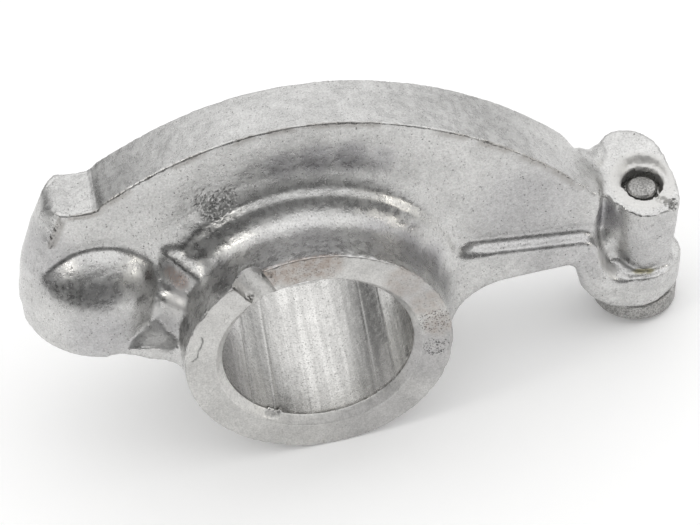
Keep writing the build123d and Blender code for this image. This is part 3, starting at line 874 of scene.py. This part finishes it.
def metal(name, look, machined=False):
    material, tree, shader = newMaterial(name)
    place = millimetres(tree)
    fine = grain(tree, place, look["grainScale"], 3.0, 0.65)
    ripple = grain(tree, place, look["rippleScale"], 3.0)
    cloud = grain(tree, place, anyMetal["cloudScale"])
    speck = darkSpecks(tree, place, look)
    # painted shade: this mask darkens the tone and cools the colour
    paintedShade = maskOf(tree, "paintedShade")
    dark = maths(tree, "MAXIMUM", speck, product(tree, maskOf(tree, "pitted"), anyMetal["pittedShare"]))
    tone = product(tree, between(tree, ripple, 0.3, 0.7, *anyMetal["ripple"]),
                   between(tree, cloud, 0.3, 0.7, *anyMetal["cloud"]),
                   between(tree, fine, 0.3, 0.7, *anyMetal["fine"]),
                   between(tree, dark, 0, 1, 1.0, look["speckTone"]),
                   maths(tree, "SUBTRACT", 1.0, paintedShade))
    rough = between(tree, ripple, 0.3, 0.7, look["roughness"] - look["roughSpread"],
                    look["roughness"] + look["roughSpread"])
    height = fine
    if machined:
        inside = maskOf(tree, "bore")
        streak, lineTone = boreLines(tree, place, inside)
        tone = product(tree, tone, machinedTone(tree, place), lineTone)
        height = mixValues(tree, inside, fine, maths(tree, "MULTIPLY_ADD", fine, 0.5, streak))
        rough = mixValues(tree, inside, rough, maths(tree, "SUBTRACT", rough, machinedMarks["lineSmooth"]))
    colour = scaled(tree, tuple(look["tone"] * part for part in look["tint"]), tone)
    cool = mixColours(tree, product(tree, paintedShade, anyMetal["paintedShadeCool"]), (1, 1, 1, 1), anyMetal["paintedShadeTint"])
    colour = addNode(tree, "VectorMath", {0: colour, 1: cool}, operation="MULTIPLY").outputs[0]
    fields = {"fine": fine, "ripple": ripple}
    for mask, field, low, high, least, most, paint in look["stains"]:
        broken = between(tree, fields[field], low, high, least, most)
        colour = mixColours(tree, product(tree, maskOf(tree, mask), broken), colour, paint)
    # painted highlight on the casting: paler, rougher and less metallic under the mask; on the machined piece
    # the chamfer only loses some metallic
    dull = maskOf(tree, look["dullMask"])
    if not machined:
        rough = maths(tree, "MULTIPLY_ADD", dull, look["dullRough"], rough)
        colour = mixColours(tree, product(tree, dull, look["dullShare"]), colour, look["highlightColour"])
    metallic = maths(tree, "MULTIPLY_ADD", dull, -look["dullShare"], 1.0)
    normal = bump(tree, ripple, look["rippleHeight"])
    normal = bump(tree, height, look["grainHeight"], Normal=normal)
    normal = bump(tree, speck, -anyMetal["speckHeight"], Normal=normal)
    setInput(tree, shader.inputs["Base Color"], colour)
    setInput(tree, shader.inputs["Metallic"], metallic)
    setInput(tree, shader.inputs["Roughness"], rough)
    setInput(tree, shader.inputs["Normal"], normal)
    return material


def dress(piece, material, node):
    piece.data.materials.clear()
    piece.data.materials.append(material)
    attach(piece, "root")
    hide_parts(node)


print("aluminium and steel")
castMetal = metal("castAluminium", castSkin)
dress(castArm, castMetal, "arm_casting")
dress(barrelSkin, metal("machinedAluminium", machinedSkin, True), "arm_casting")
barrelSkin.data.materials.append(castMetal)  # the outside of the barrel is as cast
flags = [int(all(asCast[corner] for corner in face.vertices)) for face in barrelSkin.data.polygons]
barrelSkin.data.polygons.foreach_set("material_index", flags)

steel = {
    "pad": (0.36, 0.34), "cup": (0.38, 0.28),       # tone, roughness
    "tint": (1.0, 0.985, 0.96),
    "blotchScale": 1.0, "blotch": (0.85, 1.15),
    "dotScale": 5.0, "dots": (0.62, 1.28), "dotHeight": 0.02,
}


def steelMetal(name, tone, roughness):
    material, tree, shader = newMaterial(name)
    place = millimetres(tree)
    blotch = grain(tree, place, steel["blotchScale"], 3.0)
    dots = grain(tree, place, steel["dotScale"], 2.0, 0.7)
    share = product(tree, between(tree, blotch, 0.3, 0.7, *steel["blotch"]),
                    between(tree, dots, 0.36, 0.62, *steel["dots"]))
    colour = scaled(tree, tuple(tone * part for part in steel["tint"]), share)
    setInput(tree, shader.inputs["Base Color"], colour)
    setInput(tree, shader.inputs["Metallic"], 1.0)
    setInput(tree, shader.inputs["Roughness"], roughness)
    setInput(tree, shader.inputs["Normal"], bump(tree, dots, steel["dotHeight"]))
    return material


dress(valvePad, steelMetal("padSteel", *steel["pad"]), "valve_pad")
dress(pushrodCup, steelMetal("cupSteel", *steel["cup"]), "pushrod_cup")

print("stage, light and camera")
stage = {
    "floorHalf": 1.5,
    "floorWhite": 0.07,      # m, in front of this the paper's colour and glow fall off, a painted shade
    "floorShade": 0.13,      # m, where the painted shade is full
    "shade": 0.17,           # brightness it keeps there
    "floorTone": 0.94,
    "floorRoughness": 0.9,
    "floorShine": 0.1,
    # painted light: the paper glows a little, though it is no lamp
    "floorGlow": 0.14,
    "lamps": [(-0.74, -0.22, 0.64), (0.82, -0.44, 0.36)],   # upright directions
    "lampAway": 0.45,        # m
    "lampSize": 0.085,       # m
    "lampPower": 0.12,       # W
    "lampColour": (1.0, 0.97, 0.9),
    # brightness of the light tent by degrees above the front horizon, 180 is the back horizon
    "tent": [(0, 0.20), (32, 0.22), (48, 0.42), (60, 1.2), (80, 1.3),
             (100, 1.3), (135, 1.2), (152, 0.8), (165, 0.8), (180, 0.9)],
    "tentLeft": (-0.25, -0.8), "tentRight": (0.3, 0.9),     # its sides are darker from here to there
    "tentRightShade": 0.6, "tentLowShade": 0.75, "tentTop": 0.85,
    "tentStrength": 2.0,
}
floorMesh = bpy.data.meshes.new("floor")
h = stage["floorHalf"]
floorMesh.from_pydata([(-h, -h, 0), (h, -h, 0), (h, h, 0), (-h, h, 0)], [], [(0, 1, 2, 3)])
floor = bpy.data.objects.new("floor", floorMesh)
floor.location = (0, 0, cadLow[2])
bpy.context.scene.collection.objects.link(floor)
floorPaint, tree, shader = newMaterial("palePaper")
across = addNode(tree, "SeparateXYZ", {0: addNode(tree, "TexCoord").outputs["Object"]}).outputs[1]
# painted shade: the paper darkens towards the front, and its glow with it
paintedPaperShade = between(tree, across, -stage["floorShade"], -stage["floorWhite"], stage["shade"], 1.0)
setInput(tree, shader.inputs["Base Color"], scaled(tree, (stage["floorTone"],) * 3, paintedPaperShade))
setInput(tree, shader.inputs["Roughness"], stage["floorRoughness"])
setInput(tree, shader.inputs["Specular IOR Level"], stage["floorShine"])
setInput(tree, shader.inputs["Emission Color"], (1, 1, 1, 1))
setInput(tree, shader.inputs["Emission Strength"], product(tree, paintedPaperShade, stage["floorGlow"]))
floorMesh.materials.append(floorPaint)

for side, aim in enumerate(stage["lamps"]):
    lampData = bpy.data.lights.new("lamp" + str(side), "AREA")
    lampData.shape = "DISK"
    lampData.size = stage["lampSize"]
    lampData.energy = stage["lampPower"]
    lampData.color = stage["lampColour"]
    lamp = bpy.data.objects.new("lamp" + str(side), lampData)
    away = rowVector(*aim).normalized()
    lamp.location = away * stage["lampAway"]
    lamp.rotation_euler = away.to_track_quat("Z", "Y").to_euler()
    bpy.context.scene.collection.objects.link(lamp)


def pointing(tree, direction, axis):  # how far a direction points along an upright axis, -1 to 1
    return addNode(tree, "VectorMath", {0: direction, 1: rowVector(*axis)},
                   operation="DOT_PRODUCT").outputs["Value"]


scene = bpy.context.scene
scene.world = bpy.data.worlds.new("tent")
scene.world.use_nodes = True
tree = scene.world.node_tree
background = tree.nodes["Background"]
toward = addNode(tree, "TexCoord").outputs["Generated"]
height = pointing(tree, toward, (0, 0, 1))
side = pointing(tree, toward, (1, 0, 0))
turned = maths(tree, "ARCTAN2", height, pointing(tree, toward, (0, -1, 0)))
share = addNode(tree, "MapRange", {"Value": turned, "From Min": 0.0, "From Max": math.pi}).outputs[0]
tones = addNode(tree, "ValToRGB", {0: share})
elements = tones.color_ramp.elements
for index, (degrees, tone) in enumerate(stage["tent"]):
    stop = elements[index] if index < 2 else elements.new(degrees / 180)
    stop.position = degrees / 180
    stop.color = (*[tone / stage["tentStrength"]] * 3, 1)
sideShade = maths(tree, "ADD", between(tree, side, *stage["tentLeft"]),
                  between(tree, side, *stage["tentRight"], 0.0, stage["tentRightShade"]))
lowness = between(tree, height, stage["tentTop"], 0.0, 0.0, stage["tentLowShade"])
dim = maths(tree, "SUBTRACT", 1.0, product(tree, sideShade, lowness))
setInput(tree, background.inputs["Color"], scaled(tree, tones.outputs[0], dim))
setInput(tree, background.inputs["Strength"], stage["tentStrength"])

view = {                     # upright axes and place of the camera, mm
    "lens": 174.6, "sensor": 36,
    "right": (0.9876, -0.1568, 0.0),
    "up": (0.1108, 0.6982, 0.7072),
    "back": (-0.1109, -0.6985, 0.7070),
    "place": (-34.7, -249.0, 254.2),
}
camera = bpy.data.objects.new("camera", bpy.data.cameras.new("camera"))
camera.data.lens = view["lens"]
camera.data.sensor_width = view["sensor"]
columns = [rowVector(*view[name]) for name in ("right", "up", "back")] + [rowVector(*view["place"]) * mm]
camera.matrix_world = Matrix([[column[axis] for column in columns] for axis in range(3)] + [[0, 0, 0, 1]])
scene.collection.objects.link(camera)
scene.camera = camera
scene.view_settings.view_transform = "Standard"
